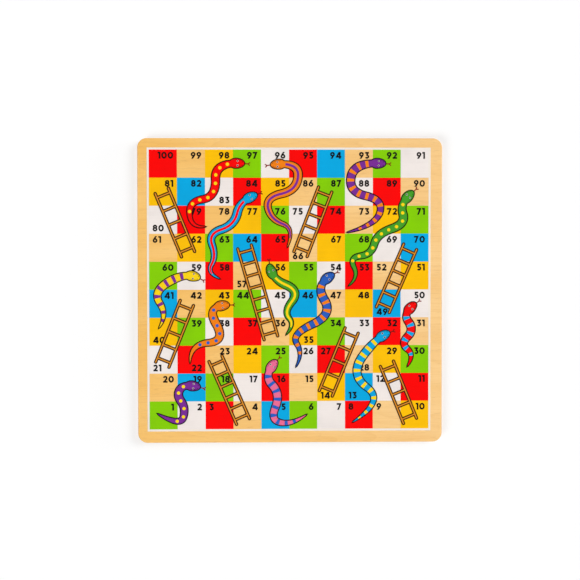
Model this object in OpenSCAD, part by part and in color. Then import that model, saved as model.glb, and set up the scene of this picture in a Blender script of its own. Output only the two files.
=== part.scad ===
// Snakes and ladders board. A square plywood panel carries a print of ten rows
// of ten numbered squares, with snakes and ladders drawn over them. The board
// lies face up with the row of 100 at the back. Sizes are in millimetres.

/* [Panel] */
// length of each side of the panel
board_side = 290; // [275:1:420]
// radius of the four corners, seen from above
corner_radius = 9; // [4:0.5:16]
// radius that eases the upper and lower edges
edge_radius = 1; // [0.2:0.1:1]
// thickness of the face veneer and of the back veneer
veneer_thickness = 1.2; // [1.1:0.1:2]
// thickness of each ply between the two veneers
ply_thickness = 1.32; // [0.8:0.01:3]

/* [Print] */
// bare wood to the left of the print
left_margin = 9; // [4:0.5:20]
// bare wood to the right of the print
right_margin = 11; // [4:0.5:20]
// bare wood behind the print, beyond the row of 100
back_margin = 9; // [4:0.5:16]
// width of the white line round the squares
border_width = 2; // [0.5:0.5:6]
// thickness of one printed film
film = 0.1; // [0.05:0.05:0.3]
// hairline between two neighbouring squares
square_gap = 0.02; // [0.02:0.02:0.4]

/* [Numbers] */
// height of the numerals
number_height = 6.4; // [5:0.1:8]
// width of the line that draws a numeral
number_stroke = 1.5; // [0.4:0.05:1.7]
// clear space between two numerals
number_gap = 0.9; // [0.2:0.1:2]
// from the side of a square to its number
number_inset_x = 3.5; // [0.5:0.1:5]
// from the back or front of a square to its number
number_inset_y = 2.2; // [0.5:0.1:5]

/* [Snakes] */
// width of a snake's body at its thickest
snake_width = 7; // [4:0.5:8]
// length of a snake's head
head_length = 14; // [10:0.5:18]
// width of a snake's head
head_width = 8.6; // [7:0.1:10]
// width of the dark line round snakes and ladders
outline_width = 1; // [0.2:0.05:1.2]
// distance from one marking on a snake to the next
marking_spacing = 8; // [6:0.5:14]
// length of a ring along the snake
ring_length = 3; // [1:0.5:5]
// diameter of a round spot
spot_diameter = 3.2; // [1:0.2:3.6]
// width of the stripe along a snake's back
stripe_width = 2.2; // [0.6:0.2:3.2]
// diameter of the white of an eye
eye_diameter = 1.8; // [1.4:0.1:2.6]
// diameter of the dark middle of an eye
pupil_diameter = 1.3; // [0.4:0.1:1.3]

/* [Ladders] */
// distance between the middles of the two rails
ladder_width = 13.5; // [9:0.5:16]
// width of a rail, and of a rung
rail_width = 1.3; // [0.8:0.1:3]
// distance from one rung to the next, as near as the length allows
rung_spacing = 12.5; // [7:0.5:20]
// how far the rails run on past the end rungs
rail_overrun = 5; // [3:0.5:8]

/* [Hidden] */

row_count = 10;
inner_plies = 5;
panel_top = 2 * veneer_thickness + inner_plies * ply_thickness;
ground_top = panel_top + film;
square_top = ground_top + film;
outline_top = square_top + film;
fill_top = outline_top + film;
marking_top = fill_top + film;
print_side = board_side - left_margin - right_margin;
print_corner = [left_margin - board_side / 2, board_side / 2 - back_margin - print_side];
field_side = print_side - 2 * border_width;
pitch = field_side / row_count;
field_corner = print_corner + [border_width, border_width];

birch = "#F0C987";
birch_end = "#DDB171";
ink_white = "#F3EAE6";
ink_red = "#FC0000";
ink_tan = "#F7CB88";
ink_yellow = "#FCBF04";
ink_green = "#87CD02";
ink_blue = "#03ACE4";
ink_black = "#1A1414";
ink_brown = "#C87D23";
ink_purple = "#7A2D96";
ink_orange = "#F58214";
ink_navy = "#2A5FBE";
ink_leaf = "#46A028";
ink_pink = "#F06E96";
ink_lemon = "#FFD614";

// The plain squares repeat five inks along a row, two places on from row to row.
repeat_inks = [ink_white, ink_red, ink_tan, ink_yellow, ink_green];
first_ink = 4;
row_step = 2;
// Squares that leave the repeat.
blue_numbers = [5, 13, 19, 41, 46, 49, 64, 70, 82, 94];
tan_numbers = [86, 93];
yellow_numbers = [85];
// Numbers that stand at the left or at the front of their square, to keep clear
// of snakes and ladders. The others stand at its right and at its back.
left_numbers = [3, 8, 9, 12, 13, 14, 21, 27, 40, 44, 49, 52, 57, 61, 66, 75, 80];
front_numbers = [13, 14, 21, 22, 28, 35, 40, 49, 57, 66, 80, 83];

// Each ladder runs from its foot to its top, counted in squares from the
// front left corner of the field.
ladders = [
    [[3.35, 0.25], [2.35, 2.55]],
    [[9.35, 0.25], [8.5, 2.35]],
    [[6.3, 1.25], [7.25, 3.55]],
    [[0.45, 2.3], [1.35, 4.55]],
    [[4.35, 3.25], [3.4, 6.55]],
    [[8.35, 4.25], [9.35, 6.55]],
    [[1.4, 6.25], [0.45, 8.55]],
    [[5.4, 6.25], [6.3, 8.6]]
];

// Each snake runs from its nose past the corners of its route to the tip of its
// tail, counted the same way.
snakes = [
    [[1.8, 1.5], [1.25, 1.65], [0.95, 1.25], [1.3, 0.75], [1.1, 0.1], [0.3, 0.55]],
    [[4.55, 2.45], [4.05, 1.95], [4.7, 1.25], [4.3, 0.3], [5.1, 0.15], [5.6, 0.5]],
    [[8.6, 3.45], [8.15, 3.3], [7.15, 1.95], [8.45, 1], [7.3, 0.25]],
    [[2.85, 4.45], [2, 4.45], [2.75, 3.15], [1.45, 3.05], [1.45, 2.4]],
    [[9.55, 4.5], [9.05, 4.15], [9.5, 3.55], [9, 3.05], [9.5, 2.65], [9.25, 2.25]],
    [[6.6, 5.55], [5.9, 5.2], [6.6, 4.1], [5.05, 3.4], [5.5, 2.7], [5.25, 2.25]],
    [[4.3, 5.9], [4.35, 5.4], [5.4, 4.95], [4.8, 4.2], [5.2, 3.75], [4.9, 3.4]],
    [[1.8, 5.4], [1.35, 5.65], [0.1, 4.95], [0.65, 4.1], [0.35, 3.65]],
    [[3.85, 8.4], [3.25, 8.2], [3.05, 7.3], [2.1, 7], [2.4, 6.2], [2.05, 5.6], [2.5, 5.4]],
    [[9.45, 8.5], [8.95, 8.1], [9.2, 7.35], [8.15, 7], [7.95, 6.25], [7.15, 6.15],
        [7.5, 5.45], [7.15, 5.15]],
    [[8.45, 9.5], [7.35, 9.6], [7.1, 8.5], [8.4, 8.2], [8.1, 7.3], [7.1, 7.05]],
    [[4.35, 9.45], [5.35, 9.6], [5.3, 8.55], [4.15, 8.3], [4.35, 7.5], [5.2, 7.2],
        [4.95, 6.55]],
    [[3.4, 9.5], [2.35, 9.6], [2.4, 8.3], [1.4, 8.15], [1.5, 7.2], [2, 7.25]]
];

// Shape of every snake.
curve_steps = 24;
head_steps = 12;
body_steps = 48;
widest_share = 0.58;
neck_share = 0.74;
neck_length = 20;
tail_tip = 0.15;
tail_point = 2;
heading_step = 1.5;
marking_clear = 2;
first_marking = head_length + marking_clear;
eye_along_share = 0.45;
eye_across_share = 0.25;
marking_edge_share = 0.96;
stripe_share = 0.6;
stripe_steps = 36;
ring_steps = 4;
tongue_stem = 2.4;
tongue_length = 4.2;
tongue_spread = 1.4;
tongue_half = 0.5;

// Shape of the numerals, in shares of their height.
numeral_widths = [0.8, 0.4, 0.68, 0.66, 0.82, 0.66, 0.7, 0.68, 0.7, 0.7];
arc_steps = 20;
rail_end_steps = 8;
stroke = number_stroke / number_height;
half_stroke = stroke / 2;
// The two rings of an eight share the bar between them.
low_ring = 0.26 + stroke / 4;
high_ring = 0.24 + stroke / 4;

// How near a figure's middle line comes to a number before it may cover it.
number_reach = 2.2 * number_height;
circle_steps = 48;

// Squares

function cell_row(n) = floor((n - 1) / row_count);
function cell_step(n) = (n - 1) % row_count;
function cell_column(n) =
    cell_row(n) % 2 == 0 ? cell_step(n) : row_count - 1 - cell_step(n);
function cell_corner(n) = field_corner + pitch * [cell_column(n), cell_row(n)];
function listed(n, numbers) = len(search(n, numbers)) > 0;
function repeat_place(n) = first_ink - row_step * cell_row(n) + cell_column(n);
function wrapped(i, n) = ((i % n) + n) % n;
function square_ink(n) =
    listed(n, blue_numbers) ? ink_blue :
    listed(n, tan_numbers) ? ink_tan :
    listed(n, yellow_numbers) ? ink_yellow :
    repeat_inks[wrapped(repeat_place(n), len(repeat_inks))];

// Curves

function turned(points) = [for (i = [len(points) - 1 : -1 : 0]) points[i]];
function unit(v) = v / norm(v);
function left_of(v) = [-v[1], v[0]];
// Each corner of a route is rounded by a parabola, from the middle of the side
// before the corner to the middle of the side after it.
function bend_start(p, i) = i == 1 ? p[0] : (p[i - 1] + p[i]) / 2;
function bend_end(p, i) = i == len(p) - 2 ? p[i + 1] : (p[i] + p[i + 1]) / 2;
function parabola(a, b, c, t) = (1 - t) * (1 - t) * a + 2 * t * (1 - t) * b + t * t * c;
function curve(p) = concat(
    [for (i = [1 : len(p) - 2]) for (j = [0 : curve_steps - 1])
        parabola(bend_start(p, i), p[i], bend_end(p, i), j / curve_steps)],
    [p[len(p) - 1]]);
function run(p) = [for (i = 0, s = 0; i < len(p);
    s = i + 1 < len(p) ? s + norm(p[i + 1] - p[i]) : s, i = i + 1) s];
function on_board(p) = [for (q = p) field_corner + pitch * q];
function table(p, s, axis) = [for (i = [0 : len(p) - 1]) [s[i], p[i][axis]]];

snake_curves = [for (s = snakes) on_board(curve(s))];
snake_runs = [for (c = snake_curves) run(c)];
snake_lengths = [for (r = snake_runs) r[len(r) - 1]];
snake_x = [for (k = [0 : len(snakes) - 1]) table(snake_curves[k], snake_runs[k], 0)];
snake_y = [for (k = [0 : len(snakes) - 1]) table(snake_curves[k], snake_runs[k], 1)];

function on_curve(k, t) = [lookup(t, snake_x[k]), lookup(t, snake_y[k])];
function heading(k, t) =
    unit(on_curve(k, t + heading_step) - on_curve(k, t - heading_step));
// Beyond its nose and its tail a snake's middle line runs straight on.
function spine(k, t) = on_curve(k, t) + min(t, 0) * heading(k, 0)
    + max(t - snake_lengths[k], 0) * heading(k, snake_lengths[k]);
function beside(k, t, across) = spine(k, t) + across * left_of(heading(k, t));

// Half the width of a snake, made wider by grow, at the distance t behind its nose.
widest = widest_share * head_length;
function head_half(t, grow) =
    let (u = t < widest ? (widest - t) / (widest + grow) :
        (t - widest) / (head_length - widest + grow))
    u < 1 ? (head_width / 2 + grow) * sqrt(1 - u * u) : 0;
function clamped(t) = min(max(t, 0), 1);
function body_half(t, length) =
    let (r = clamped((t - widest) / neck_length))
    let (v = clamped((t - widest) / (length - widest)))
    snake_width / 2 * (neck_share + (1 - neck_share) * r * r * (3 - 2 * r))
        * (1 - v * v * v) + tail_tip;
function snake_half(t, length, grow = 0) =
    t < widest ? head_half(t, grow) :
    max(head_half(t, grow), body_half(t, length) + grow);
function stations(length, grow) = concat(
    [for (i = [1 : head_steps - 1])
        (head_length + grow) * (1 - cos(90 * i / head_steps)) - grow],
    [for (i = [0 : body_steps])
        head_length + (length - head_length) * i / body_steps]);

// Outline of a snake, made wider by grow all round.
function snake_points(k, grow) =
    let (length = snake_lengths[k])
    let (t = stations(length, grow))
    concat(
        [spine(k, -grow)],
        [for (a = t) beside(k, a, snake_half(a, length, grow))],
        [spine(k, length + tail_point * snake_half(length, length, grow))],
        turned([for (a = t) beside(k, a, -snake_half(a, length, grow))]));

module snake_shape(k, grow) {
    polygon(snake_points(k, grow));
}

module tongue_shape(k) {
    forward = -heading(k, 0);
    side = left_of(forward);
    root = spine(k, -outline_width);
    outline = [
        [0, -tongue_half],
        [tongue_stem, -tongue_half],
        [tongue_length, -tongue_spread - tongue_half],
        [tongue_length + tongue_half, -tongue_spread + tongue_half / 2],
        [tongue_stem + 2 * tongue_half, 0],
        [tongue_length + tongue_half, tongue_spread - tongue_half / 2],
        [tongue_length, tongue_spread + tongue_half],
        [tongue_stem, tongue_half],
        [0, tongue_half]
    ];
    polygon([for (p = outline) root + p[0] * forward + p[1] * side]);
}

// Markings: rings across the body, round spots, or a stripe along the back.

function marking_starts(k) =
    [for (t = [first_marking : marking_spacing : snake_lengths[k] - marking_spacing]) t];

module rings(k) {
    length = snake_lengths[k];
    for (t = marking_starts(k)) {
        along = [for (i = [0 : ring_steps]) t + ring_length * i / ring_steps];
        polygon(concat(
            [for (a = along) beside(k, a, marking_edge_share * snake_half(a, length))],
            turned([for (a = along)
                beside(k, a, -marking_edge_share * snake_half(a, length))])));
    }
}

module spots(k) {
    for (t = marking_starts(k)) {
        if (marking_edge_share * snake_half(t, snake_lengths[k]) > spot_diameter / 2) {
            translate(spine(k, t)) circle(d = spot_diameter, $fn = circle_steps);
        }
    }
}

module stripe(k) {
    length = snake_lengths[k];
    first = head_length;
    last = length - marking_spacing;
    along = [for (i = [0 : stripe_steps]) first + (last - first) * i / stripe_steps];
    half = [for (a = along) min(stripe_width / 2, stripe_share * snake_half(a, length))];
    polygon(concat(
        [for (i = [0 : stripe_steps]) beside(k, along[i], half[i])],
        turned([for (i = [0 : stripe_steps]) beside(k, along[i], -half[i])])));
}

// Ladders

function ladder_foot(k) = field_corner + pitch * ladders[k][0];
function ladder_top(k) = field_corner + pitch * ladders[k][1];
function ladder_length(k) = norm(ladder_top(k) - ladder_foot(k));
function ladder_turn(k) =
    let (v = ladder_top(k) - ladder_foot(k))
    atan2(v[1], v[0]);

function half_round(centre, radius, from) = [for (i = [0 : rail_end_steps])
    centre + radius * [cos(from + 180 * i / rail_end_steps), sin(from + 180 * i / rail_end_steps)]];

module rail(length, width) {
    end = width / 2;
    polygon(concat(half_round([length - end, 0], end, -90), half_round([end, 0], end, 90)));
}

module ladder_shape(k, grow) {
    length = ladder_length(k);
    width = rail_width + 2 * grow;
    spaces = max(1, round((length - 2 * rail_overrun) / rung_spacing));
    step = (length - 2 * rail_overrun) / spaces;
    translate(ladder_foot(k)) rotate(ladder_turn(k)) {
        for (side = [-1, 1]) {
            translate([-grow, side * ladder_width / 2]) rail(length + 2 * grow, width);
        }
        for (i = [0 : spaces]) {
            translate([rail_overrun + i * step - width / 2, -ladder_width / 2])
                square([width, ladder_width]);
        }
    }
}

// Numerals

function arc(centre, rx, ry, from, to) = [for (i = [0 : arc_steps])
    centre + [rx * cos(from + (to - from) * i / arc_steps),
        ry * sin(from + (to - from) * i / arc_steps)]];
function neighbour(p, i) = p[min(max(i, 0), len(p) - 1)];
function side_line(p, across) = [for (i = [0 : len(p) - 1])
    p[i] + across * left_of(unit(neighbour(p, i + 1) - neighbour(p, i - 1)))];

module line(p) {
    polygon(concat(side_line(p, -half_stroke), turned(side_line(p, half_stroke))));
}

module slant(a, b) {
    half = half_stroke * norm(b - a) / (b[1] - a[1]);
    polygon([a - [half, 0], a + [half, 0], b + [half, 0], b - [half, 0]]);
}

module ring(centre, rx, ry) {
    outer = [for (i = [1 : arc_steps]) arc(centre, rx, ry, 0, 360)[i]];
    inner = [for (i = [1 : arc_steps]) arc(centre, rx - stroke, ry - stroke, 0, 360)[i]];
    first = [for (i = [0 : arc_steps - 1]) i];
    polygon(concat(outer, inner), [first, [for (i = first) i + arc_steps]]);
}

module six() {
    ring([0.35, 0.345], 0.35, 0.345);
    slant([0.15, 0.45], [0.49, 1]);
}

// One numeral, one unit high, standing on the origin.
module numeral(d) {
    top = 1 - half_stroke;
    if (d == 0) ring([0.4, 0.5], 0.4, 0.5);
    if (d == 1) {
        line([[0.4 - half_stroke, 0], [0.4 - half_stroke, 1]]);
        line([[0, top], [0.3, top]]);
    }
    if (d == 2) {
        line(concat(arc([0.335, 0.665], 0.335 - half_stroke, 0.335 - half_stroke, 165, -38),
            [[0.17, 0.08]]));
        line([[0.03, half_stroke], [0.68, half_stroke]]);
    }
    if (d == 3) {
        line([[0.05, top], [0.62, top]]);
        slant([0.3, 0.5], [0.5, 1]);
        line(arc([0.33, 0.325], 0.33 - half_stroke, 0.325 - half_stroke, 110, -150));
    }
    if (d == 4) {
        line([[0.6, 0], [0.6, 1]]);
        line([[0.02, 0.28], [0.82, 0.28]]);
        slant([0.12, 0.24], [0.56, 1]);
    }
    if (d == 5) {
        line([[0.1, top], [0.61, top]]);
        line([[0.1 + half_stroke, 1], [0.1 + half_stroke, 0.46]]);
        line(arc([0.33, 0.33], 0.33 - half_stroke, 0.33 - half_stroke, 130, -150));
    }
    if (d == 6) six();
    if (d == 7) {
        line([[0, top], [0.6, top]]);
        slant([0.2, 0], [0.565, 1]);
    }
    if (d == 8) {
        ring([0.35, low_ring], 0.35, low_ring);
        ring([0.35, 1 - high_ring], 0.32, high_ring);
    }
    if (d == 9) translate([0.7, 1]) rotate(180) six();
}

function digits(n) = n < 10 ? [n] : concat(digits(floor(n / 10)), [n % 10]);
function advance(d) = number_height * numeral_widths[d] + number_gap;
function back_of(list, i) =
    i < len(list) ? advance(list[i]) + back_of(list, i + 1) : -number_gap;
function number_corner(n) = cell_corner(n) + [
    listed(n, left_numbers) ? number_inset_x + back_of(digits(n), 0) : pitch - number_inset_x,
    listed(n, front_numbers) ? number_inset_y : pitch - number_inset_y - number_height
];
function number_middle(n) = number_corner(n)
    + [-back_of(digits(n), 0), number_height] / 2;

module number_shape(n) {
    list = digits(n);
    for (i = [0 : len(list) - 1]) {
        translate(number_corner(n) - [back_of(list, i), 0])
            scale(number_height) numeral(list[i]);
    }
}

// Snakes and ladders cover the part of a number that they pass over.
function snakes_near(n) = [for (k = [0 : len(snakes) - 1])
    if (min([for (p = snake_curves[k]) norm(p - number_middle(n))]) < number_reach) k];
function to_line(p, a, b) =
    norm(a + (b - a) * clamped((p - a) * (b - a) / ((b - a) * (b - a))) - p);
function ladders_near(n) = [for (k = [0 : len(ladders) - 1])
    if (to_line(number_middle(n), ladder_foot(k), ladder_top(k)) < number_reach + ladder_width / 2) k];

module numbers(first, last) {
    color(ink_black) translate([0, 0, square_top]) linear_extrude(film) {
        for (n = [first : last]) {
            difference() {
                number_shape(n);
                for (k = snakes_near(n)) {
                    snake_shape(k, outline_width);
                    tongue_shape(k);
                }
                for (k = ladders_near(n)) ladder_shape(k, outline_width);
            }
        }
    }
}

// Panel

module rounded_square(side, radius) {
    square([side - 2 * radius, side], center = true);
    square([side, side - 2 * radius], center = true);
    for (x = [-1, 1], y = [-1, 1]) {
        translate([x, y] * (side / 2 - radius)) circle(r = radius, $fn = 2 * circle_steps);
    }
}

module inner_ply(place) {
    translate([0, 0, veneer_thickness + place * ply_thickness])
        linear_extrude(ply_thickness) rounded_square(board_side, corner_radius);
}

module eased_profile() {
    square([corner_radius - edge_radius, veneer_thickness]);
    square([corner_radius, veneer_thickness - edge_radius]);
    intersection() {
        translate([corner_radius - edge_radius, veneer_thickness - edge_radius])
            circle(r = edge_radius, $fn = circle_steps);
        square([corner_radius, veneer_thickness]);
    }
}

// A veneer with its upper edges eased.
module veneer() {
    straight = board_side - 2 * corner_radius;
    translate([-straight / 2, -straight / 2, 0])
        cube([straight, straight, veneer_thickness]);
    for (quarter = [0 : 3]) rotate(90 * quarter) {
        translate([straight / 2, straight / 2, 0])
            rotate_extrude(angle = 90, $fn = 2 * circle_steps) eased_profile();
        translate([straight / 2, straight / 2, 0]) rotate([90, 0, 0])
            linear_extrude(straight) eased_profile();
    }
}

// Films

module squares(ink) {
    color(ink) translate([0, 0, ground_top]) linear_extrude(film) {
        for (n = [1 : row_count * row_count]) {
            if (square_ink(n) == ink) {
                translate(cell_corner(n) + [square_gap, square_gap] / 2)
                    square(pitch - square_gap);
            }
        }
    }
}

module ladder(k) {
    color(ink_brown) translate([0, 0, outline_top]) linear_extrude(film) ladder_shape(k, 0);
}

module snake(k, ink) {
    color(ink) translate([0, 0, outline_top]) linear_extrude(film) snake_shape(k, 0);
}

module marking_film(ink) {
    color(ink) translate([0, 0, fill_top]) linear_extrude(film) children();
}

module eyes(diameter) {
    for (k = [0 : len(snakes) - 1]) for (side = [-1, 1]) {
        translate(beside(k, eye_along_share * head_length, side * eye_across_share * head_width))
            circle(d = diameter, $fn = circle_steps);
    }
}

// Sub-parts

module back_veneer() {
    color(birch) translate([0, 0, veneer_thickness]) rotate([180, 0, 0]) veneer();
}
module lower_crossband() {
    color(birch_end) inner_ply(0);
}
module lower_long_ply() {
    color(birch) inner_ply(1);
}
module core_crossband() {
    color(birch_end) inner_ply(2);
}
module upper_long_ply() {
    color(birch) inner_ply(3);
}
module upper_crossband() {
    color(birch_end) inner_ply(4);
}
module face_veneer() {
    color(birch) translate([0, 0, panel_top - veneer_thickness]) veneer();
}
module ground_coat() {
    color(ink_white) translate([print_corner[0], print_corner[1], panel_top])
        linear_extrude(film) square(print_side);
}
module white_squares() squares(ink_white);
module red_squares() squares(ink_red);
module tan_squares() squares(ink_tan);
module yellow_squares() squares(ink_yellow);
module green_squares() squares(ink_green);
module blue_squares() squares(ink_blue);
module numbers_1_to_20() numbers(1, 20);
module numbers_21_to_40() numbers(21, 40);
module numbers_41_to_60() numbers(41, 60);
module numbers_61_to_80() numbers(61, 80);
module numbers_81_to_100() numbers(81, 100);
module ladder_outlines() {
    color(ink_black) translate([0, 0, square_top]) linear_extrude(film) {
        for (k = [0 : len(ladders) - 1]) ladder_shape(k, outline_width);
    }
}
module ladder_4() ladder(0);
module ladder_10() ladder(1);
module ladder_14() ladder(2);
module ladder_21() ladder(3);
module ladder_36() ladder(4);
module ladder_49() ladder(5);
module ladder_62() ladder(6);
module ladder_66() ladder(7);
module snake_outlines() {
    color(ink_black) translate([0, 0, square_top]) linear_extrude(film) {
        for (k = [0 : len(snakes) - 1]) snake_shape(k, outline_width);
    }
}
module snake_tongues() {
    color(ink_red) translate([0, 0, square_top]) linear_extrude(film) {
        for (k = [0 : len(snakes) - 1]) tongue_shape(k);
    }
}
module snake_eyes() {
    marking_film(ink_white) eyes(eye_diameter);
}
module snake_pupils() {
    color(ink_black) translate([0, 0, marking_top]) linear_extrude(film) eyes(pupil_diameter);
}
module snake_19() snake(0, ink_purple);
module snake_25() snake(1, ink_pink);
module snake_32() snake(2, ink_blue);
module snake_43() snake(3, ink_orange);
module snake_50() snake(4, ink_red);
module snake_54() snake(5, ink_navy);
module snake_56() snake(6, ink_leaf);
module snake_59() snake(7, ink_lemon);
module snake_84() snake(8, ink_blue);
module snake_90() snake(9, ink_leaf);
module snake_92() snake(10, ink_purple);
module snake_96() snake(11, ink_orange);
module snake_97() snake(12, ink_red);
module snake_19_markings() marking_film(ink_lemon) spots(0);
module snake_25_markings() marking_film(ink_navy) rings(1);
module snake_32_markings() marking_film(ink_lemon) rings(2);
module snake_43_markings() marking_film(ink_navy) spots(3);
module snake_50_markings() marking_film(ink_blue) rings(4);
module snake_54_markings() marking_film(ink_orange) rings(5);
module snake_56_markings() marking_film(ink_lemon) stripe(6);
module snake_59_markings() marking_film(ink_purple) rings(7);
module snake_84_markings() marking_film(ink_red) stripe(8);
module snake_90_markings() marking_film(ink_lemon) spots(9);
module snake_92_markings() marking_film(ink_orange) rings(10);
module snake_96_markings() marking_film(ink_purple) stripe(11);
module snake_97_markings() marking_film(ink_lemon) spots(12);

back_veneer();
lower_crossband();
lower_long_ply();
core_crossband();
upper_long_ply();
upper_crossband();
face_veneer();
ground_coat();
white_squares();
red_squares();
tan_squares();
yellow_squares();
green_squares();
blue_squares();
numbers_1_to_20();
numbers_21_to_40();
numbers_41_to_60();
numbers_61_to_80();
numbers_81_to_100();
ladder_outlines();
ladder_4();
ladder_10();
ladder_14();
ladder_21();
ladder_36();
ladder_49();
ladder_62();
ladder_66();
snake_outlines();
snake_tongues();
snake_eyes();
snake_pupils();
snake_19();
snake_25();
snake_32();
snake_43();
snake_50();
snake_54();
snake_56();
snake_59();
snake_84();
snake_90();
snake_92();
snake_96();
snake_97();
snake_19_markings();
snake_25_markings();
snake_32_markings();
snake_43_markings();
snake_50_markings();
snake_54_markings();
snake_56_markings();
snake_59_markings();
snake_84_markings();
snake_90_markings();
snake_92_markings();
snake_96_markings();
snake_97_markings();
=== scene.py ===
# %% [markdown]
# # A snakes and ladders board
# The real board is one square of plywood, seven thin sheets of birch glued
# together, with a coloured print on its face. This lesson loads the solid model of
# that board and dresses it: first the camera and the light, then the wood, then
# the inks. All sizes are in metres and every piece already lies in its final place.

import bpy
import numpy as np
from mathutils import Matrix, Vector


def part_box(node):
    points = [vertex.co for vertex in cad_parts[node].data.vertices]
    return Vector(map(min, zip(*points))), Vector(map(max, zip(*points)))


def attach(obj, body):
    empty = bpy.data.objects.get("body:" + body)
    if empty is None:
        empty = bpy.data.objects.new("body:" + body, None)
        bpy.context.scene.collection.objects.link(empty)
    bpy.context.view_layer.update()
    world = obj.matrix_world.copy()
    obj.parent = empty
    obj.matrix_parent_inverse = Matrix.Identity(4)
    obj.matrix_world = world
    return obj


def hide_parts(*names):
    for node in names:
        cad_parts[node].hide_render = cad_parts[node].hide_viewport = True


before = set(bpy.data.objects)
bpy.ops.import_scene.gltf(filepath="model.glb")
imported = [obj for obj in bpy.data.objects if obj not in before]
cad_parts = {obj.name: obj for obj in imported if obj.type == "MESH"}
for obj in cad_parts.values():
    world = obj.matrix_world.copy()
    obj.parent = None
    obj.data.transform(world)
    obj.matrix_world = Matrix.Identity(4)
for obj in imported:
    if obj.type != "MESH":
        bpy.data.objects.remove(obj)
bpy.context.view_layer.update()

MM = 0.001
print("pieces of the solid board:", len(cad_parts))

# %% [markdown]
# ## The camera
# The board fills half of the picture and is seen almost square on. A camera can be
# aimed with a constraint, but here its three axes are worked out and written into
# its matrix: the direction it looks from, the edge of the board that is up, and the
# one at right angles to both. A long lens from 1.2 m keeps the sides nearly parallel.

# %% Aim the camera at the face
# The point it looks at, how far off it stands, its leans and roll, and the lens in mm.
LOOK_AT = Vector((0.0, 0.0004, 0.0))
STAND_OFF = 1.2
LEAN_X, LEAN_Y, ROLL = np.radians([-1.306, 1.339, 0.069])
LENS = 77.6


def aimed_camera(target, stand_off, lean_x, lean_y, roll, lens):
    """A camera whose z axis points from the target to it, leant by two small angles,
    with its y axis along the board's far edge, turned by the roll."""
    back = Vector((np.sin(lean_x), np.sin(lean_y), 1.0)).normalized()
    up = Vector((np.sin(roll), np.cos(roll), 0.0))
    up = (up - back * up.dot(back)).normalized()
    right = up.cross(back)
    camera = bpy.data.objects.new("camera", bpy.data.cameras.new("camera"))
    camera.data.lens = lens
    camera.data.dof.use_dof = False
    camera.matrix_world = Matrix.Translation(target + back * stand_off) @ Matrix(
        (right, up, back)
    ).transposed().to_4x4()
    bpy.context.scene.collection.objects.link(camera)
    return camera


bpy.context.scene.camera = aimed_camera(LOOK_AT, STAND_OFF, LEAN_X, LEAN_Y, ROLL, LENS)
bpy.context.scene.view_settings.view_transform = "Standard"
print("camera stands at", [round(c, 3) for c in bpy.context.scene.camera.location])

# %% [markdown]
# ## Shader sums
# A shader is a tree of nodes, and a long tree is hard to read. So one small class
# wraps a socket and lets Python's own signs add the Math nodes: 1 - mask or
# rings * 0.3 + fibres then read as the sums they are. A second class adds every other
# kind of node: its settings come first, then the values or links of its sockets.


# %% A socket that can be added and multiplied
class Wire:
    """An output socket. A sum with it adds a Math node and gives that node's output."""

    def __init__(self, recipe, socket):
        self.recipe, self.socket = recipe, socket

    def sum(self, how, *values):
        return self.recipe.node("ShaderNodeMath", {"operation": how}, dict(enumerate(values)))

    def __add__(self, other):
        return self.sum("ADD", self, other)

    def __sub__(self, other):
        return self.sum("SUBTRACT", self, other)

    def __rsub__(self, other):
        return self.sum("SUBTRACT", other, self)

    def __mul__(self, other):
        return self.sum("MULTIPLY", self, other)

    def __truediv__(self, other):
        return self.sum("DIVIDE", self, other)

    def __pow__(self, other):
        return self.sum("POWER", self, other)

    def __abs__(self):
        return self.sum("ABSOLUTE", self)

    __radd__ = __add__
    __rmul__ = __mul__

    def part(self):
        """What is left of the value above the whole number below it."""
        return self.sum("FRACT", self)

    def larger(self, other):
        return self.sum("MAXIMUM", self, other)


# %% A recipe adds nodes to a tree
class Recipe:
    """A node tree that is being written."""

    def __init__(self, tree):
        self.tree = tree

    def node(self, kind, settings=None, sockets=None, out=0):
        """Adds a node: settings first, then values or links for its sockets."""
        made = self.tree.nodes.new(kind)
        for name, value in (settings or {}).items():
            setattr(made, name, value)
        for name, value in (sockets or {}).items():
            if isinstance(value, Wire):
                self.tree.links.new(value.socket, made.inputs[name])
            else:
                made.inputs[name].default_value = value
        return Wire(self, made.outputs[out])

    def axis(self, vector, name):
        """One of the three numbers of a vector: X, Y or Z."""
        return self.node("ShaderNodeSeparateXYZ", {}, {"Vector": vector}, out=name)

    def step(self, value, low, high):
        """0 below low, 1 above high, and an S-shaped rise between them."""
        return self.node(
            "ShaderNodeMapRange",
            {"interpolation_type": "SMOOTHSTEP"},
            {"Value": value, "From Min": low, "From Max": high},
        )

    def mix(self, share, first, second):
        """A colour between two colours."""
        return self.node(
            "ShaderNodeMix", {"data_type": "RGBA"}, {0: share, 6: first, 7: second}, out=2
        )

    def place(self, stretch, turn=0.0, shift=(0.0, 0.0, 0.0)):
        """The point of the piece, in metres, moved, turned about z and stretched."""
        point = self.node("ShaderNodeTexCoord", out="Object")
        return self.node(
            "ShaderNodeMapping",
            {},
            {"Vector": point, "Location": shift, "Rotation": (0, 0, turn), "Scale": stretch},
        )

    def noise(self, place, scale, detail=2.0, rough=0.5):
        """Soft random clouds from 0 to 1."""
        return self.node(
            "ShaderNodeTexNoise",
            {},
            {"Vector": place, "Scale": scale, "Detail": detail, "Roughness": rough},
        )

    def even_clouds(self, often, detail=2.0):
        """Clouds that are as long as they are wide, so many to a metre."""
        return self.noise(self.place((1, 1, 1)), often, detail)

    def stored(self, *names):
        """The numbers that are stored under these names on the points of the mesh."""
        return [self.node("ShaderNodeAttribute", {"attribute_name": n}, out="Fac") for n in names]


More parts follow.
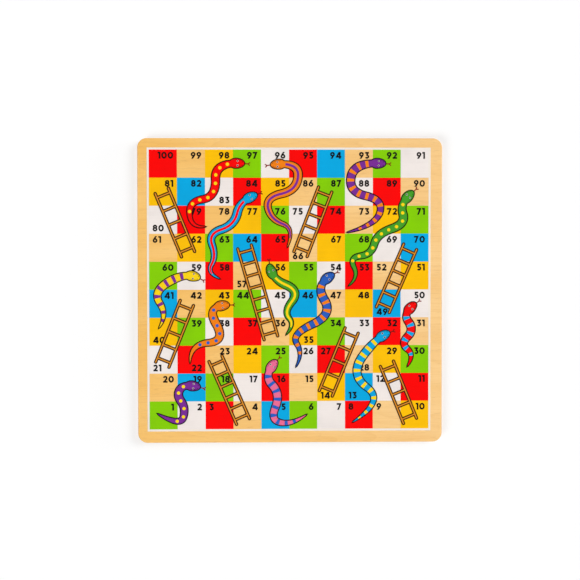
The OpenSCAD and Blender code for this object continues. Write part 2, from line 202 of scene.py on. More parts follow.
# %% Colours are written as on a paint chart
def chart(code, level=1.0):
    """The six figures of a paint chart, as the linear colour that a shader wants: the
    curve that screens use is straight near black and a power of 2.4 above that."""
    shown = np.array([int(code[i : i + 2], 16) for i in (1, 3, 5)]) / 255
    linear = np.where(shown <= 0.04045, shown / 12.92, ((shown + 0.055) / 1.055) ** 2.4)
    return (*np.clip(linear * level, 0, 1), 1.0)


def new_finish(name, coat=0.0, coat_roughness=0.2, specular=0.3):
    """A material with a Principled shader, whose constant values sit on its sockets."""
    material = bpy.data.materials.new(name)
    material.use_nodes = True
    shader = material.node_tree.nodes["Principled BSDF"]
    shader.inputs["Specular IOR Level"].default_value = specular
    shader.inputs["Coat Weight"].default_value = coat
    shader.inputs["Coat Roughness"].default_value = coat_roughness
    return material, Recipe(material.node_tree), shader


def apply_finish(recipe, shader, colour, roughness, height, depth):
    """Links colour and roughness, and a height as bump that is depth metres deep."""
    links = recipe.tree.links
    links.new(colour.socket, shader.inputs["Base Color"])
    links.new(roughness.socket, shader.inputs["Roughness"])
    bump = recipe.node(
        "ShaderNodeBump", {}, {"Height": height, "Strength": 1.0, "Distance": depth}
    )
    links.new(bump.socket, shader.inputs["Normal"])


print("middle grey on the chart is", [round(c, 3) for c in chart("#808080")[:3]])

# %% [markdown]
# ## Floor and light
# The board lies on a plain white ground, lit softly from the right, with a faint
# shadow on its left. Lamps close to the board would light it unevenly, so three wide
# suns stand in for large soft boxes far away; the lowest one throws the long soft
# shadow. The sky is pale near the horizon and dim overhead: a face seen square on
# mirrors what is overhead, and a bright sky there would lay a grey veil over the strong
# inks. Together they add up to a level at which a colour renders as it is written. The
# floor glows a little where it is looked at, as a lit backdrop does, so that it stays
# white and its shadow stays pale.

# %% The floor
FLOOR_REACH = 12.0
FLOOR_GLOW = 0.65
FLOOR_CLOUDS = 4.0


def ring_of_floor(reach, turns=64):
    """A round floor: points at the same distance from the middle, one flat face."""
    turn = np.linspace(0, 2 * np.pi, turns, endpoint=False)
    rim = np.column_stack([np.cos(turn), np.sin(turn), np.zeros(turns)]) * reach
    mesh = bpy.data.meshes.new("floor")
    mesh.from_pydata(rim.tolist(), [], [list(range(turns))])
    floor = bpy.data.objects.new("floor", mesh)
    bpy.context.scene.collection.objects.link(floor)
    return floor


floor = ring_of_floor(FLOOR_REACH)
floor_paint, recipe, shader = new_finish("floor_paint", specular=0.0)
cloud = recipe.even_clouds(FLOOR_CLOUDS)
shade = recipe.mix(cloud, chart("#FDFDFD"), chart("#FFFFFF"))
apply_finish(recipe, shader, shade, 0.9 + 0.1 * cloud, cloud, 0.0)
looks = [recipe.node("ShaderNodeLightPath", out=f"Is {ray} Ray")
         for ray in ("Camera", "Glossy", "Transmission")]
looked_at = looks[0].larger(looks[1]).larger(looks[2])
glow = recipe.node("ShaderNodeEmission", {}, {"Color": (1, 1, 1, 1), "Strength": 1.0})
lit = Wire(recipe, shader.outputs["BSDF"])
mixed = recipe.node("ShaderNodeMixShader", {}, {0: looked_at * FLOOR_GLOW, 1: lit, 2: glow})
floor_nodes = floor_paint.node_tree
floor_nodes.links.new(mixed.socket, floor_nodes.nodes["Material Output"].inputs["Surface"])
floor.data.materials.append(floor_paint)
print("floor is", 2 * FLOOR_REACH, "m across")

# %% Three wide suns and a sky
# Where each sun stands, its share of the light on the face, and its width in degrees.
SUNS = {
    "sun_right": ((0.70, 0.30, 0.64), 0.36, 30.0),
    "sun_left": ((-0.60, -0.45, 0.67), 0.40, 30.0),
    "sun_low": ((0.95, 0.16, 0.16), 0.05, 14.0),
}
# The glow of the sky overhead, and what it gains down to the horizon, as the square of
# 1 - height. A level face gets a sixth of that gain.
SKY_OVERHEAD, SKY_RISE = 0.06, 0.96
FACE_GETS = 1 / 6

for name, (direction, share, width) in SUNS.items():
    sun = bpy.data.objects.new(name, bpy.data.lights.new(name, "SUN"))
    sun.data.energy = share * np.pi / Vector(direction).normalized().z
    sun.data.angle = np.radians(width)
    sun.rotation_mode = "QUATERNION"
    sun.rotation_quaternion = Vector(direction).to_track_quat("Z", "Y")
    bpy.context.scene.collection.objects.link(sun)

world = bpy.data.worlds.new("sky")
bpy.context.scene.world = world
world.use_nodes = True
recipe = Recipe(world.node_tree)
height = recipe.axis(recipe.node("ShaderNodeTexCoord", out="Generated"), "Z")
low = 1.0 - height.larger(0.0)
glow = SKY_OVERHEAD + low * low * SKY_RISE
backdrop = world.node_tree.nodes["Background"]
world.node_tree.links.new(glow.socket, backdrop.inputs["Strength"])
backdrop.inputs["Color"].default_value = (1, 1, 1, 1)

from_suns = sum(share for _, share, _ in SUNS.values())
from_sky = SKY_OVERHEAD + SKY_RISE * FACE_GETS
print("light on the face, 1 is plain:", round(from_suns + from_sky, 3))

# %% [markdown]
# ## Birch
# Birch veneer is peeled from a log as paper comes off a roll, so the growth rings lie
# nearly flat in the sheet and show as long wavy outlines, like the height lines on a
# map. That is how they are made here: a cloud is stretched along the grain, and equal
# steps of its height give the rings. Fine stretched clouds give the fibres and pores.
# The clouds fill space, so the same recipe shows long lines on a side that runs with
# the grain and dots on the end grain, and a crossband is only turned by 90 degrees.

# %% What the wood of this board looks like
HALF_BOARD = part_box("face_veneer")[1].x
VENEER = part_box("back_veneer")[1].z
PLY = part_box("lower_crossband")[1].z - VENEER

WOOD_PALE = "#F8CC86"
WOOD_DEEP = "#F0B760"
WOOD_RING = "#DFA254"
# The golden tone paints shade on the left of the board, and the pink tone paints light on its
# right.
WOOD_SHADED_GOLD = "#F9C466"
WOOD_LIT_PINK = "#FBD398"
GLUE = "#8A5A2B"
END_GRAIN = "#BE8440"

# How often each cloud comes in a metre: along the grain, across it and through it.
HILLS, PATCHES = (3.2, 26, 26), (5, 34, 34)
FIBRES, DASHES = (22, 900, 900), (90, 2100, 2100)
# Rings in the height of the hills, and how sharp their dark side is.
RING_COUNT, RING_SHARPNESS = 15.0, 3.0
# How much of each shows in the colour, from 0 to 1.
BANDS_SHOW, RINGS_SHOW, FIBRES_SHOW, PORES_SHOW, GLUE_SHOWS = 0.45, 0.17, 0.20, 0.22, 0.8
# How far the painted change from shaded gold on the left to lit pink on the right wanders, and the
# depth of the grain.
PAINTED_LIGHT_WANDER, GRAIN_DEPTH = 0.05, 0.05 * MM


def birch(name, across=False, shift=(0.0, 0.0, 0.0), deep=0.0):
    """Birch whose grain runs along x, or along y for a crossband."""
    material, recipe, shader = new_finish(name, coat=0.12, coat_roughness=0.35)
    turn = np.pi / 2 if across else 0.0

    def grain(often, detail, rough=0.5):
        """Clouds that are stretched along the grain."""
        return recipe.noise(recipe.place(often, turn, shift), 1.0, detail, rough)

    rings = (grain(HILLS, 1.5, 0.45) * RING_COUNT).part() ** RING_SHARPNESS
    fibres = grain(FIBRES, 3.0, 0.6)
    pores = recipe.step(grain(DASHES, 1.0), 0.66, 0.74)
    patches = grain(PATCHES, 2.0)

    # Painted light: golden and deeper on the left, paler and pinker on the right, as if lit from
    # the right, with paler and deeper bands.
    point = recipe.node("ShaderNodeTexCoord", out="Object")
    painted_light_x = recipe.axis(point, "X") + patches * PAINTED_LIGHT_WANDER
    side = recipe.step(painted_light_x, -HALF_BOARD, HALF_BOARD + PAINTED_LIGHT_WANDER)
    colour = recipe.mix(side, chart(WOOD_SHADED_GOLD), chart(WOOD_LIT_PINK))
    bands = recipe.mix(recipe.step(patches, 0.32, 0.68), chart(WOOD_DEEP), chart(WOOD_PALE))
    colour = recipe.mix(BANDS_SHOW, colour, bands)
    colour = recipe.mix(rings * RINGS_SHOW + deep, colour, chart(WOOD_RING))
    colour = recipe.mix(recipe.step(fibres, 0.35, 0.75) * FIBRES_SHOW, colour, chart(WOOD_RING))
    colour = recipe.mix(pores * PORES_SHOW, colour, chart(GLUE))

    # On the edge of the panel: darker end grain, and a thin line of glue at each joint.
    normal = recipe.node("ShaderNodeNewGeometry", out="Normal")
    ends = recipe.step(abs(recipe.axis(normal, "Y" if across else "X")), 0.35, 0.85)
    colour = recipe.mix(ends * (0.50 + fibres * 0.40), colour, chart(END_GRAIN))
    joint = abs(((recipe.axis(point, "Z") - VENEER) / PLY).part() - 0.5)
    edge = 1.0 - recipe.step(abs(recipe.axis(normal, "Z")), 0.5, 0.9)
    glue = recipe.step(joint, 0.43, 0.475) * edge
    colour = recipe.mix(glue * GLUE_SHOWS, colour, chart(GLUE))

    roughness = 0.44 + patches * 0.10 + pores * 0.2 + ends * 0.15
    relief = fibres * 0.5 - rings * 0.35 - pores
    apply_finish(recipe, shader, colour, roughness, relief, GRAIN_DEPTH)
    return material


face_birch = birch("face_birch")
back_birch = birch("back_birch", shift=(0.4, 0.7, 0.2), deep=0.06)
long_birch = birch("long_birch", shift=(1.3, 0.2, 0.5), deep=0.05)
cross_birch = birch("cross_birch", across=True, shift=(2.1, 1.7, 0.9), deep=0.10)
print("birch finishes:", [m.name for m in (face_birch, back_birch, long_birch, cross_birch)])

# %% [markdown]
# ## The seven sheets of the panel
# Each sheet is a rounded square with a sanded edge. A cube with a bevel would do, but
# a profile carried along the outline gives more say over the edge: the two outer
# sheets are eased to a soft round, and every joint between sheets shows as a fine
# groove, where sanding has worn the soft glue line a little lower than the wood.

# %% The outline of the panel
CORNER = 9.0 * MM


def rounded_outline(half_side, corner, per_corner=24, per_side=30):
    """Points and outward directions around a rounded square, anticlockwise. One quarter
    is a straight side and then a quarter turn; the other three are it turned by 90."""
    flat = half_side - corner
    side = np.linspace(-flat, flat, per_side, endpoint=False)
    turn = np.linspace(0, np.pi / 2, per_corner, endpoint=False)
    quarter = np.concatenate([half_side + 1j * side, flat + 1j * flat + corner * np.exp(1j * turn)])
    faces = np.concatenate([np.ones(per_side), np.exp(1j * turn)])
    spin = np.exp(1j * np.pi / 2 * np.arange(4))[:, None]
    ring, out = (spin * quarter).ravel(), (spin * faces).ravel()
    return np.column_stack([ring.real, ring.imag]), np.column_stack([out.real, out.imag])


outline, out = rounded_outline(HALF_BOARD, CORNER)
print("points on the outline:", len(outline))


# %% A profile carried along the outline
def carried_profile(outline, out, inset, heights):
    """A grid of points: each row is the outline, moved inwards by one inset, at one
    height. The rows run from the underside to the top."""
    flat = outline[None] - out[None] * inset[:, None, None]
    rise = np.broadcast_to(heights[:, None, None], (*flat.shape[:2], 1))
    return np.concatenate([flat, rise], axis=2)


def ring_faces(rows, columns, start=0):
    """Quads between neighbouring rows of a grid whose rows close on themselves, and one
    face over the first row and one over the last. Points are counted from the start."""
    at = start + np.arange(rows * columns).reshape(rows, columns)
    low, high = at[:-1], at[1:]
    quads = np.stack([low, np.roll(low, -1, 1), np.roll(high, -1, 1), high], axis=-1)
    return quads.reshape(-1, 4).tolist() + [at[0, ::-1].tolist(), at[-1].tolist()]


def new_piece(name, points, faces, finish, soft_angle=40.0):
    """A mesh object at the origin, smooth where its faces meet at less than the angle."""
    mesh = bpy.data.meshes.new(name)
    mesh.from_pydata(np.asarray(points).reshape(-1, 3).tolist(), [], faces)
    mesh.polygons.foreach_set("use_smooth", np.ones(len(mesh.polygons), bool))
    mesh.set_sharp_from_angle(angle=np.radians(soft_angle))
    mesh.materials.append(finish)
    mesh.validate()
    piece = bpy.data.objects.new(name, mesh)
    bpy.context.scene.collection.objects.link(piece)
    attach(piece, "root")
    return piece


# %% Edge profiles of the sheets
EASED = 1.0 * MM
GROOVE, GROOVE_RISE = 0.06 * MM, 0.06 * MM


def worn_edge(low, high, rows=9):
    """The edge of an inner sheet: straight, and drawn in by the groove at both joints.
    The inset grows with the eighth power of the distance from the middle, and the rows
    lie closer together near the joints."""
    share = np.linspace(-1, 1, rows)
    share = np.sign(share) * np.abs(share) ** 0.5
    return GROOVE * share**8, low + (high - low) * (share + 1) / 2


def eased_edge(low, high, upwards, steps=12):
    """The edge of an outer sheet: a groove at the joint, then a straight part, then a
    quarter circle that runs into the face."""
    turn = np.linspace(0, np.pi / 2, steps)
    inset = np.concatenate([[GROOVE, GROOVE / 4], EASED * (1 - np.cos(turn))])
    rise = np.concatenate([[0, GROOVE_RISE], (high - low) - EASED + EASED * np.sin(turn)])
    return (inset, low + rise) if upwards else (inset[::-1], (high - rise)[::-1])


SHEETS = {
    "back_veneer": back_birch,
    "lower_crossband": cross_birch,
    "lower_long_ply": long_birch,
    "core_crossband": cross_birch,
    "upper_long_ply": long_birch,
    "upper_crossband": cross_birch,
    "face_veneer": face_birch,
}

for node, finish in SHEETS.items():
    low, high = (corner.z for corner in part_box(node))
    if node.endswith("veneer"):
        inset, heights = eased_edge(low, high, upwards=node == "face_veneer")
    else:
        inset, heights = worn_edge(low, high)
    points = carried_profile(outline, out, inset, heights)
    sheet = new_piece(node + "_sheet", points, ring_faces(*points.shape[:2]), finish)
    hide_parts(node)
    print(sheet.name, "from", round(low / MM, 2), "to", round(high / MM, 2), "mm")

# %% [markdown]
# ## Inks
# The print is laid down with thick satin inks, one colour after another. An ink is not
# one flat colour: it lies a little thicker here and thinner there, the grain of the
# wood comes through as faint ridges, and the mesh of the screen leaves a fine
# orange-peel. The solid model has the right shape for the flat areas, so its own
# pieces stay and only get these finishes.

# %% One recipe for all inks
SATIN, INK_SHINE = 0.28, 0.2
PEEL, INK_PATCHES, INK_RIDGES = 1500.0, 38.0, (24, 620, 620)
INK_DEPTH = 0.012 * MM


def ink(name, code, strength=0.04):
    """A satin ink: its colour between two strengths of itself, by three clouds."""
    material, recipe, shader = new_finish(name, specular=INK_SHINE)
    patches = recipe.even_clouds(INK_PATCHES)
    ridges = recipe.noise(recipe.place(INK_RIDGES), 1.0, 2.0, 0.6)
    peel = recipe.even_clouds(PEEL, 1.0)
    lay = patches * 0.65 + ridges * 0.2 + peel * 0.15
    thin, thick = chart(code, 1 + strength), chart(code, 1 - 2 * strength)
    colour = recipe.mix(recipe.step(lay, 0.30, 0.75), thin, thick)
    rough = SATIN + patches * 0.10 + ridges * 0.06
    apply_finish(recipe, shader, colour, rough, ridges * 0.7 + peel * 0.3, INK_DEPTH)
    return material


INKS = {
    "white": "#EFE6E1",
    "red": "#FC0000",
    "yellow": "#FCBF04",
    "green": "#83CB02",
    "blue": "#03A7E0",
    "black": "#120E0E",
    "purple": "#7A2D96",
    "orange": "#F58214",
    "navy": "#2A5FBE",
    "leaf": "#46A028",
    "pink": "#F06E96",
    "lemon": "#FFD614",
    "outline": "#120A05",
    "rail": "#33190A",
    "tongue": "#82160F",
}
inks = {name: ink(name + "_ink", code) for name, code in INKS.items()}
inks["line_white"] = ink("line_white_ink", "#F0E7DE", strength=0.02)
print("inks mixed:", len(inks))


# %% Paint the flat areas of the print
def paint(node, finish):
    """Gives a piece of the solid model another finish."""
    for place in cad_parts[node].material_slots:
        place.material = finish


FLAT_AREAS = {
    "ground_coat": inks["line_white"],
    "white_squares": inks["white"],
    "red_squares": inks["red"],
    "tan_squares": face_birch,
    "yellow_squares": inks["yellow"],
    "green_squares": inks["green"],
    "blue_squares": inks["blue"],
    "ladder_outlines": inks["rail"],
    "snake_tongues": inks["tongue"],
    "snake_eyes": inks["white"],
    "snake_pupils": inks["black"],
}
NUMBER_BLOCKS = [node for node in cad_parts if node.startswith("numbers_")]
FLAT_AREAS.update({node: inks["black"] for node in NUMBER_BLOCKS})
for node, finish in FLAT_AREAS.items():
    paint(node, finish)
print("flat areas painted:", len(FLAT_AREAS))

# %% [markdown]
# ## Snakes
# Every snake is one shape carried along its own route: a few straight sides whose
# corners are rounded, with a width for each distance behind the nose. The route could
# be a Blender curve, but with arrays the same sums give the outline and, for each point,
# how far along the snake it is and how far from the middle of its back. The ink reads
# these as attributes, so scales follow the bends of the body.

# %% Routes of the snakes
PITCH = 26.6 * MM
FIELD_CORNER = np.array([-134.0, -132.0]) * MM

# The ink of the body, the ink of the markings, and the route: the nose, the corners and
# the tip of the tail, counted in squares from the front left corner of the field.
SNAKES = {
    19: ("purple", "lemon", [(1.8, 1.5), (1.25, 1.65), (0.95, 1.25), (1.3, 0.75),
                             (1.1, 0.1), (0.3, 0.55)]),
    25: ("pink", "navy", [(4.55, 2.45), (4.05, 1.95), (4.7, 1.25), (4.3, 0.3),
                          (5.1, 0.15), (5.6, 0.5)]),
    32: ("blue", "lemon", [(8.6, 3.45), (8.15, 3.3), (7.15, 1.95), (8.45, 1.0),
                           (7.3, 0.25)]),
    43: ("orange", "navy", [(2.85, 4.45), (2.0, 4.45), (2.75, 3.15), (1.45, 3.05),
                            (1.45, 2.4)]),
    50: ("red", "blue", [(9.55, 4.5), (9.05, 4.15), (9.5, 3.55), (9.0, 3.05),
                         (9.5, 2.65), (9.25, 2.25)]),
    54: ("navy", "orange", [(6.6, 5.55), (5.9, 5.2), (6.6, 4.1), (5.05, 3.4),
                            (5.5, 2.7), (5.25, 2.25)]),
    56: ("leaf", "lemon", [(4.3, 5.9), (4.35, 5.4), (5.4, 4.95), (4.8, 4.2),
                           (5.2, 3.75), (4.9, 3.4)]),
    59: ("lemon", "purple", [(1.8, 5.4), (1.35, 5.65), (0.1, 4.95), (0.65, 4.1),
                             (0.35, 3.65)]),
    84: ("blue", "red", [(3.85, 8.4), (3.25, 8.2), (3.05, 7.3), (2.1, 7.0),
                         (2.4, 6.2), (2.05, 5.6), (2.5, 5.4)]),
    90: ("leaf", "lemon", [(9.45, 8.5), (8.95, 8.1), (9.2, 7.35), (8.15, 7.0),
                           (7.95, 6.25), (7.15, 6.15), (7.5, 5.45), (7.15, 5.15)]),
    92: ("purple", "orange", [(8.45, 9.5), (7.35, 9.6), (7.1, 8.5), (8.4, 8.2),
                              (8.1, 7.3), (7.1, 7.05)]),
    96: ("orange", "purple", [(4.35, 9.45), (5.35, 9.6), (5.3, 8.55), (4.15, 8.3),
                              (4.35, 7.5), (5.2, 7.2), (4.95, 6.55)]),
    97: ("red", "lemon", [(3.4, 9.5), (2.35, 9.6), (2.4, 8.3), (1.4, 8.15),
                          (1.5, 7.2), (2.0, 7.25)]),
}


def smooth_route(route, steps=24):
    """A curve along a route: each corner is rounded by a parabola, which starts in the
    middle of the side before the corner and ends in the middle of the side after it."""
    p = FIELD_CORNER + PITCH * np.array(route)
    middles = (p[1:-2] + p[2:-1]) / 2
    start = np.concatenate([p[:1], middles])[:, None]
    corner = p[1:-1, None]
    end = np.concatenate([middles, p[-1:]])[:, None]
    t = (np.arange(steps) / steps)[None, :, None]
    curve = (1 - t) ** 2 * start + 2 * t * (1 - t) * corner + t**2 * end
    return np.concatenate([curve.reshape(-1, 2), p[-1:]])


print("snakes on the board:", len(SNAKES))

# %% How wide a snake is
HEAD_LENGTH, HEAD_WIDTH, BODY_WIDTH = 14.0 * MM, 8.6 * MM, 7.0 * MM
WIDEST = 0.58 * HEAD_LENGTH
NECK_SHARE, NECK_LENGTH = 0.74, 20.0 * MM
# Half the width at the end of the tail, and the length of its point in such halves.
TAIL_TIP, TAIL_POINT = 0.15 * MM, 2.0


def snake_half_width(along, length, grow=0.0):
    """Half the width at a distance behind the nose: an egg-shaped head, made of two half
    ellipses, a body that swells after the neck and tapers as a cube to the tail, and a
    straight point. The shape can grow by a margin all round."""
    reach = np.where(along < WIDEST, WIDEST, HEAD_LENGTH - WIDEST) + grow
    u = np.abs(along - WIDEST) / reach
    head = (HEAD_WIDTH / 2 + grow) * np.sqrt(np.clip(1 - u * u, 0, None))
    r = np.clip((along - WIDEST) / NECK_LENGTH, 0, 1)
    v = np.clip((along - WIDEST) / (length - WIDEST), 0, 1)
    neck = NECK_SHARE + (1 - NECK_SHARE) * r * r * (3 - 2 * r)
    body = BODY_WIDTH / 2 * neck * (1 - v**3) + TAIL_TIP + grow
    past = np.clip(along - length, 0, None) / (TAIL_POINT * (TAIL_TIP + grow))
    body = body * np.clip(1 - past, 0, 1)
    return np.where(along < WIDEST, head, np.maximum(head, body))


SAMPLE_LENGTH = 120.0 * MM
SAMPLE_PLACES = np.array([2.0, 8.0, 14.0, 40.0]) * MM
sample = np.column_stack([SAMPLE_PLACES, 2 * snake_half_width(SAMPLE_PLACES, SAMPLE_LENGTH)])
print("behind the nose and width there, mm:", (sample / MM).round(1).tolist())

# %% The middle line of a snake
HEADING_STEP = 1.5 * MM
BEYOND = 3


class Spine:
    """A snake's middle line: a point and the direction to its left at any distance. The
    line goes straight on beyond the nose and the tail, for a few times its end steps."""

    def __init__(self, route):
        curve = smooth_route(route)
        before = curve[:1] + BEYOND * (curve[:1] - curve[1:2])
        after = curve[-1:] + BEYOND * (curve[-1:] - curve[-2:-1])
        self.curve = np.concatenate([before, curve, after])
        steps = np.hypot(*np.diff(self.curve, axis=0).T)
        self.run = np.concatenate([[0], np.cumsum(steps)]) - steps[0]
        self.length = self.run[-2]

    def point(self, along):
        return np.column_stack([np.interp(along, self.run, axis) for axis in self.curve.T])

    def left(self, along):
        ahead = self.point(along + HEADING_STEP) - self.point(along - HEADING_STEP)
        ahead /= np.linalg.norm(ahead, axis=1, keepdims=True)
        return np.column_stack([-ahead[:, 1], ahead[:, 0]])


spines = {number: Spine(route) for number, (_, _, route) in SNAKES.items()}
print("snake lengths, mm:", {n: round(s.length / MM) for n, s in spines.items()})


# %% A strip of ink carried along a path
def ink_strip(middle, left, half, low, high, across=9):
    """A closed strip: at each point of the path, a flat loop that runs over the top from
    left to right and back underneath, as wide as the strip is there. Gives the grid of
    points and, for each, its place across the strip from 1 to -1."""
    over = np.linspace(1, -1, across)
    share = np.concatenate([over, over[::-1]])
    rise = np.concatenate([np.full(across, high), np.full(across, low)])
    flat = middle[:, None] + left[:, None] * (half[:, None] * share)[..., None]
    rows = len(middle)
    grid = np.concatenate(
        [flat, np.broadcast_to(rise[None, :, None], (rows, 2 * across, 1))], axis=2
    )
    return grid, np.broadcast_to(share, (rows, 2 * across))


def enclosed(points, faces):
    """The volume inside a closed strip, positive where its faces point outwards: a sixth
    of each triangle's box with the origin. The tiny faces at its two ends are left out."""
    p = np.asarray(points).reshape(-1, 3)
    quads = np.array([f for f in faces if len(f) == 4])
    a, b, c, d = (p[quads[:, i]] for i in range(4))
    fans = [np.einsum("ij,ij->i", a, np.cross(b, c)), np.einsum("ij,ij->i", a, np.cross(c, d))]
    return sum(f.sum() for f in fans) / 6


def name_places(piece, **places):
    """Stores one number per point of the mesh under each name."""
    for name, values in places.items():
        layer = piece.data.attributes.new(name, "FLOAT", "POINT")
        layer.data.foreach_set("value", np.asarray(values, np.float32).ravel())


# %% Ink for the skin of a snake
# Scales in a millimetre, along the body and beside its middle, and the depth of a line.
SCALES_ALONG, SCALES_BESIDE, SCALE_DEPTH = 0.42, 0.55, 0.03 * MM
SKIN_PATCHES = 60.0
# How much the scale lines darken the ink, and how much painted shade darkens its edges.
LINES_SHOW, SIDE_SHADE_SHOWS = 0.16, 0.20


def skin_ink(name, code):
    """A satin ink with rows of small scales: two sets of slanting lines make diamonds. It has
    painted shade, a little deeper towards both edges, so that the back looks round."""
    material, recipe, shader = new_finish(name, specular=INK_SHINE)
    along, across, beside = recipe.stored("along", "across", "beside")
    one = abs((along * SCALES_ALONG + beside * SCALES_BESIDE).part() - 0.5)
    two = abs((along * SCALES_ALONG - beside * SCALES_BESIDE).part() - 0.5)
    lines = recipe.step(one.larger(two), 0.40, 0.49)
    patches = recipe.even_clouds(SKIN_PATCHES)
    peel = recipe.even_clouds(PEEL, 1.0)
    # Painted shade: darker towards both edges of the flat body, so that it looks round.
    sides = recipe.step(abs(across), 0.35, 1.0)
    colour = recipe.mix(patches, chart(code, 1.04), chart(code, 0.92))
    colour = recipe.mix(lines * LINES_SHOW + sides * SIDE_SHADE_SHOWS, colour, chart(code, 0.45))
    rough = SATIN + patches * 0.10 + lines * 0.10
    apply_finish(recipe, shader, colour, rough, peel * 0.3 - lines, SCALE_DEPTH)
    return material


bodies = dict.fromkeys(body for body, _, _ in SNAKES.values())
skins = {name: skin_ink(name + "_skin", INKS[name]) for name in bodies}
print("skins:", list(skins))

# %% Bodies of the snakes
OUTLINE_BASE, OUTLINE_TOP = (corner.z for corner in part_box("snake_outlines"))
FILL_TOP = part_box("snake_19")[1].z
HEAD_ROWS, BODY_ROWS, TIP_ROWS = 24, 110, 8
# How close to its very ends a snake is first and last cut.
TIGHT = 0.004 * MM


def cuts_along(length, grow=0.0):
    """Distances behind the nose at which a snake is cut: close together at the nose, even
    along the body, and close together again in the point of the tail."""
    turn = np.linspace(0, np.pi / 2, HEAD_ROWS, endpoint=False)
    nose = (HEAD_LENGTH + grow) * (1 - np.cos(turn)) - grow
    body = np.linspace(HEAD_LENGTH, length, BODY_ROWS, endpoint=False)
    tip = length + TAIL_POINT * (TAIL_TIP + grow) * np.linspace(0, 1, TIP_ROWS)
    cuts = np.concatenate([nose, body, tip])
    return np.clip(cuts, cuts[0] + TIGHT, cuts[-1] - TIGHT)


for number, (body, marking, _) in SNAKES.items():
    spine = spines[number]
    along = cuts_along(spine.length)
    half = snake_half_width(along, spine.length)
    grid, share = ink_strip(spine.point(along), spine.left(along), half, OUTLINE_TOP, FILL_TOP)
    faces = ring_faces(*grid.shape[:2])
    snake = new_piece(f"snake_{number}_body", grid, faces, skins[body])
    name_places(
        snake,
        along=np.broadcast_to(along[:, None] / MM, share.shape),
        across=share,
        beside=share * half[:, None] / MM,
    )
    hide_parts(f"snake_{number}")
    paint(f"snake_{number}_markings", inks[marking])
    print(snake.name, "holds", round(enclosed(grid, faces) / MM**3, 1), "mm3 of ink")

# %% Dark outlines under the snakes
OUTLINE_WIDTH = 1.0 * MM


def joined(strips):
    """Puts closed strips into one mesh: their points in a row, and the faces of each
    counted on from the points of those before it."""
    counts = [grid.shape[0] * grid.shape[1] for grid in strips]
    starts = np.cumsum([0] + counts[:-1])
    rings = [ring_faces(*grid.shape[:2], start) for grid, start in zip(strips, starts)]
    return np.concatenate([grid.reshape(-1, 3) for grid in strips]), sum(rings, [])


strips = []
for spine in spines.values():
    along = cuts_along(spine.length, OUTLINE_WIDTH)
    half = snake_half_width(along, spine.length, OUTLINE_WIDTH)
    strip = ink_strip(spine.point(along), spine.left(along), half, OUTLINE_BASE, OUTLINE_TOP)
    strips.append(strip[0])
outlines = new_piece("snake_outline_ink", *joined(strips), inks["outline"])
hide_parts("snake_outlines")
print("outlines drawn:", len(strips))

# %% [markdown]
# ## Faces of the snakes
# A snake seen from above has two nostrils near the tip of its nose and the line of its
# mouth along both sides of the head. They are drawn with a fine brush, so they are
# narrow strips of black ink, made by the same strip as the body and joined in one mesh.

# %% Nostrils and mouth lines
# Where they start and end, in head lengths; the mouth's place across in half widths of
# the head there, the nostril's in head widths; then half the thickness of the stroke.
MOUTH_FROM, MOUTH_TO, MOUTH_ACROSS, MOUTH_HALF = 0.06, 0.72, 0.80, 0.14 * MM
NOSTRIL_FROM, NOSTRIL_TO, NOSTRIL_ACROSS, NOSTRIL_HALF = 0.10, 0.17, 0.17, 0.28 * MM
MOUTH_ROWS, NOSTRIL_ROWS = 16, 7
STROKE_RISE, STROKE_END = 0.05 * MM, 0.25


def pen_stroke(spine, first, last, across, thickest, rows):
    """A stroke on a snake's head, from one distance behind the nose to another, at a
    place across it. Half a wave makes it thickest in its middle and thin at both ends."""
    share = np.linspace(0, 1, rows)
    along = first + (last - first) * share
    left = spine.left(along)
    middle = spine.point(along) + left * across(along)[:, None]
    half = thickest * (STROKE_END + (1 - STROKE_END) * np.sin(np.pi * share))
    return ink_strip(middle, left, half, FILL_TOP, FILL_TOP + STROKE_RISE, across=3)[0]


strokes = []
for spine in spines.values():
    for side in (-1, 1):
        strokes.append(pen_stroke(
            spine, MOUTH_FROM * HEAD_LENGTH, MOUTH_TO * HEAD_LENGTH,
            lambda a: side * MOUTH_ACROSS * snake_half_width(a, spine.length),
            MOUTH_HALF, MOUTH_ROWS))
        strokes.append(pen_stroke(
            spine, NOSTRIL_FROM * HEAD_LENGTH, NOSTRIL_TO * HEAD_LENGTH,
            lambda a: np.full(len(a), side * NOSTRIL_ACROSS * HEAD_WIDTH),
            NOSTRIL_HALF, NOSTRIL_ROWS))
snake_faces = new_piece("snake_faces", *joined(strokes), inks["black"])
print("pen strokes on the heads:", len(strokes))

# %% [markdown]
# ## Ladders
# A ladder is two rails with round ends and a few rungs. They are strips too, straight
# ones: the round end of a rail is a half width that follows a circle over the last
# bit of its length. The ink is brown with a painted highlight, a lighter line along the
# middle of each bar, and fine darker streaks along it, as wood is drawn.

# %% Ink that is drawn as wood
# Streaks in a millimetre, along the bar and beside its middle, and their depth.
STREAKS_ALONG, STREAKS_BESIDE, STREAK_DEPTH = 0.25, 4.0, 0.02 * MM
# How strongly the painted highlight along the middle and the dark streaks show.
HIGHLIGHT_SHOWS, STREAKS_SHOW = 0.8, 0.35


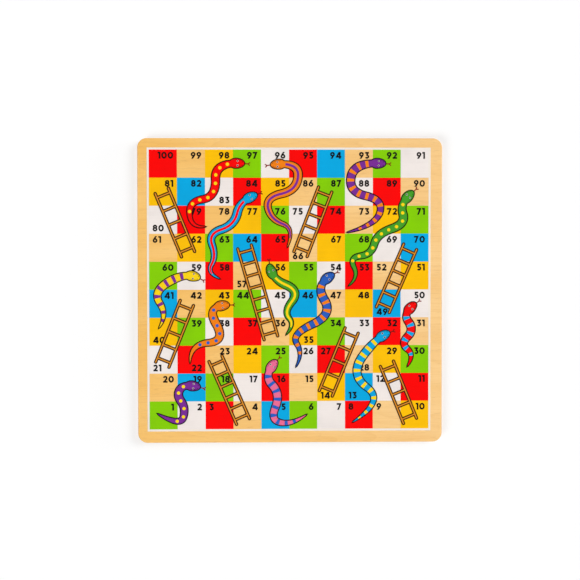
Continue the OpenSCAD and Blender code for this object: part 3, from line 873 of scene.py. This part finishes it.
def drawn_wood(name, code, light, dark):
    """Ink that is drawn as wood: a painted highlight along the middle of a bar, with fine streaks.
    """
    material, recipe, shader = new_finish(name, specular=INK_SHINE)
    along, across, beside = recipe.stored("along", "across", "beside")
    lines = recipe.node(
        "ShaderNodeCombineXYZ", {}, {"X": along * STREAKS_ALONG, "Y": beside * STREAKS_BESIDE}
    )
    streaks = recipe.noise(lines, 1.0, 2.0, 0.6)
    peel = recipe.even_clouds(PEEL, 1.0)
    # Painted highlight: lighter along the middle of each bar.
    middle = 1.0 - recipe.step(abs(across), 0.10, 0.75)
    colour = recipe.mix(middle * HIGHLIGHT_SHOWS, chart(code), chart(light))
    colour = recipe.mix(recipe.step(streaks, 0.5, 0.8) * STREAKS_SHOW, colour, chart(dark))
    rough = SATIN + streaks * 0.12
    apply_finish(recipe, shader, colour, rough, peel * 0.3 - streaks, STREAK_DEPTH)
    return material


# Brown ink, then the painted highlight along the middle, then the dark streaks.
ladder_wood = drawn_wood("ladder_wood", "#C27418", "#E9A03C", "#8A4C12")
print("ladder ink:", ladder_wood.name)

# %% A bar of a ladder
# How close to its ends a bar is first and last cut, as a share of its length, and half
# the width it keeps at a round end.
END_SHARE, END_HALF = 0.0004, 0.02 * MM
RAIL_ROWS, RUNG_ROWS = 40, 12


def bar(start, end, half, round_ends, rows):
    """A straight strip from start to end. With round ends its half width follows a
    circle at both ends: the square root of half squared minus distance squared."""
    length = np.linalg.norm(end - start)
    ahead = (end - start) / length
    share = (1 - np.cos(np.linspace(0, np.pi, rows))) / 2
    along = length * np.clip(share, END_SHARE, 1 - END_SHARE)
    past = np.clip(half - np.minimum(along, length - along), 0, None) * round_ends
    width = np.sqrt(np.clip(half**2 - past**2, END_HALF**2, None))
    left = np.broadcast_to([-ahead[1], ahead[0]], (rows, 2))
    grid, across = ink_strip(start + ahead * along[:, None], left, width, OUTLINE_TOP, FILL_TOP)
    return grid, np.broadcast_to(along[:, None], across.shape), across, across * width[:, None]


# %% Rails and rungs
LADDER_WIDTH, RAIL_WIDTH = 13.5 * MM, 1.3 * MM
RUNG_SPACING, RAIL_OVERRUN = 12.5 * MM, 5.0 * MM
# Each bar starts this much further along the streaks, so that no two look the same.
STREAK_SHIFT = 0.1

# Foot and top, counted in squares from the front left corner of the field.
LADDERS = {
    4: ((3.35, 0.25), (2.35, 2.55)),
    10: ((9.35, 0.25), (8.5, 2.35)),
    14: ((6.3, 1.25), (7.25, 3.55)),
    21: ((0.45, 2.3), (1.35, 4.55)),
    36: ((4.35, 3.25), (3.4, 6.55)),
    49: ((8.35, 4.25), (9.35, 6.55)),
    62: ((1.4, 6.25), (0.45, 8.55)),
    66: ((5.4, 6.25), (6.3, 8.6)),
}

for number, ends in LADDERS.items():
    foot, top = (FIELD_CORNER + PITCH * np.array(end) for end in ends)
    length = np.linalg.norm(top - foot)
    ahead = (top - foot) / length
    left = np.array([-ahead[1], ahead[0]])
    half = RAIL_WIDTH / 2
    aside = left * LADDER_WIDTH / 2
    bars = [bar(foot + aside * s, top + aside * s, half, 1, RAIL_ROWS) for s in (-1, 1)]
    spaces = max(1, round((length - 2 * RAIL_OVERRUN) / RUNG_SPACING))
    reach = left * (LADDER_WIDTH / 2 - half)
    for place in np.linspace(RAIL_OVERRUN, length - RAIL_OVERRUN, spaces + 1):
        rung = foot + ahead * place
        bars.append(bar(rung - reach, rung + reach, half, 0, RUNG_ROWS))
    grids, along, across, beside = zip(*bars)
    ladder = new_piece(f"ladder_{number}_bars", *joined(grids), ladder_wood)
    name_places(
        ladder,
        along=np.concatenate([a.ravel() + STREAK_SHIFT * i for i, a in enumerate(along)]) / MM,
        across=np.concatenate([a.ravel() for a in across]),
        beside=np.concatenate([b.ravel() for b in beside]) / MM,
    )
    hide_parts(f"ladder_{number}")
    print(ladder.name, "has", spaces + 1, "rungs")
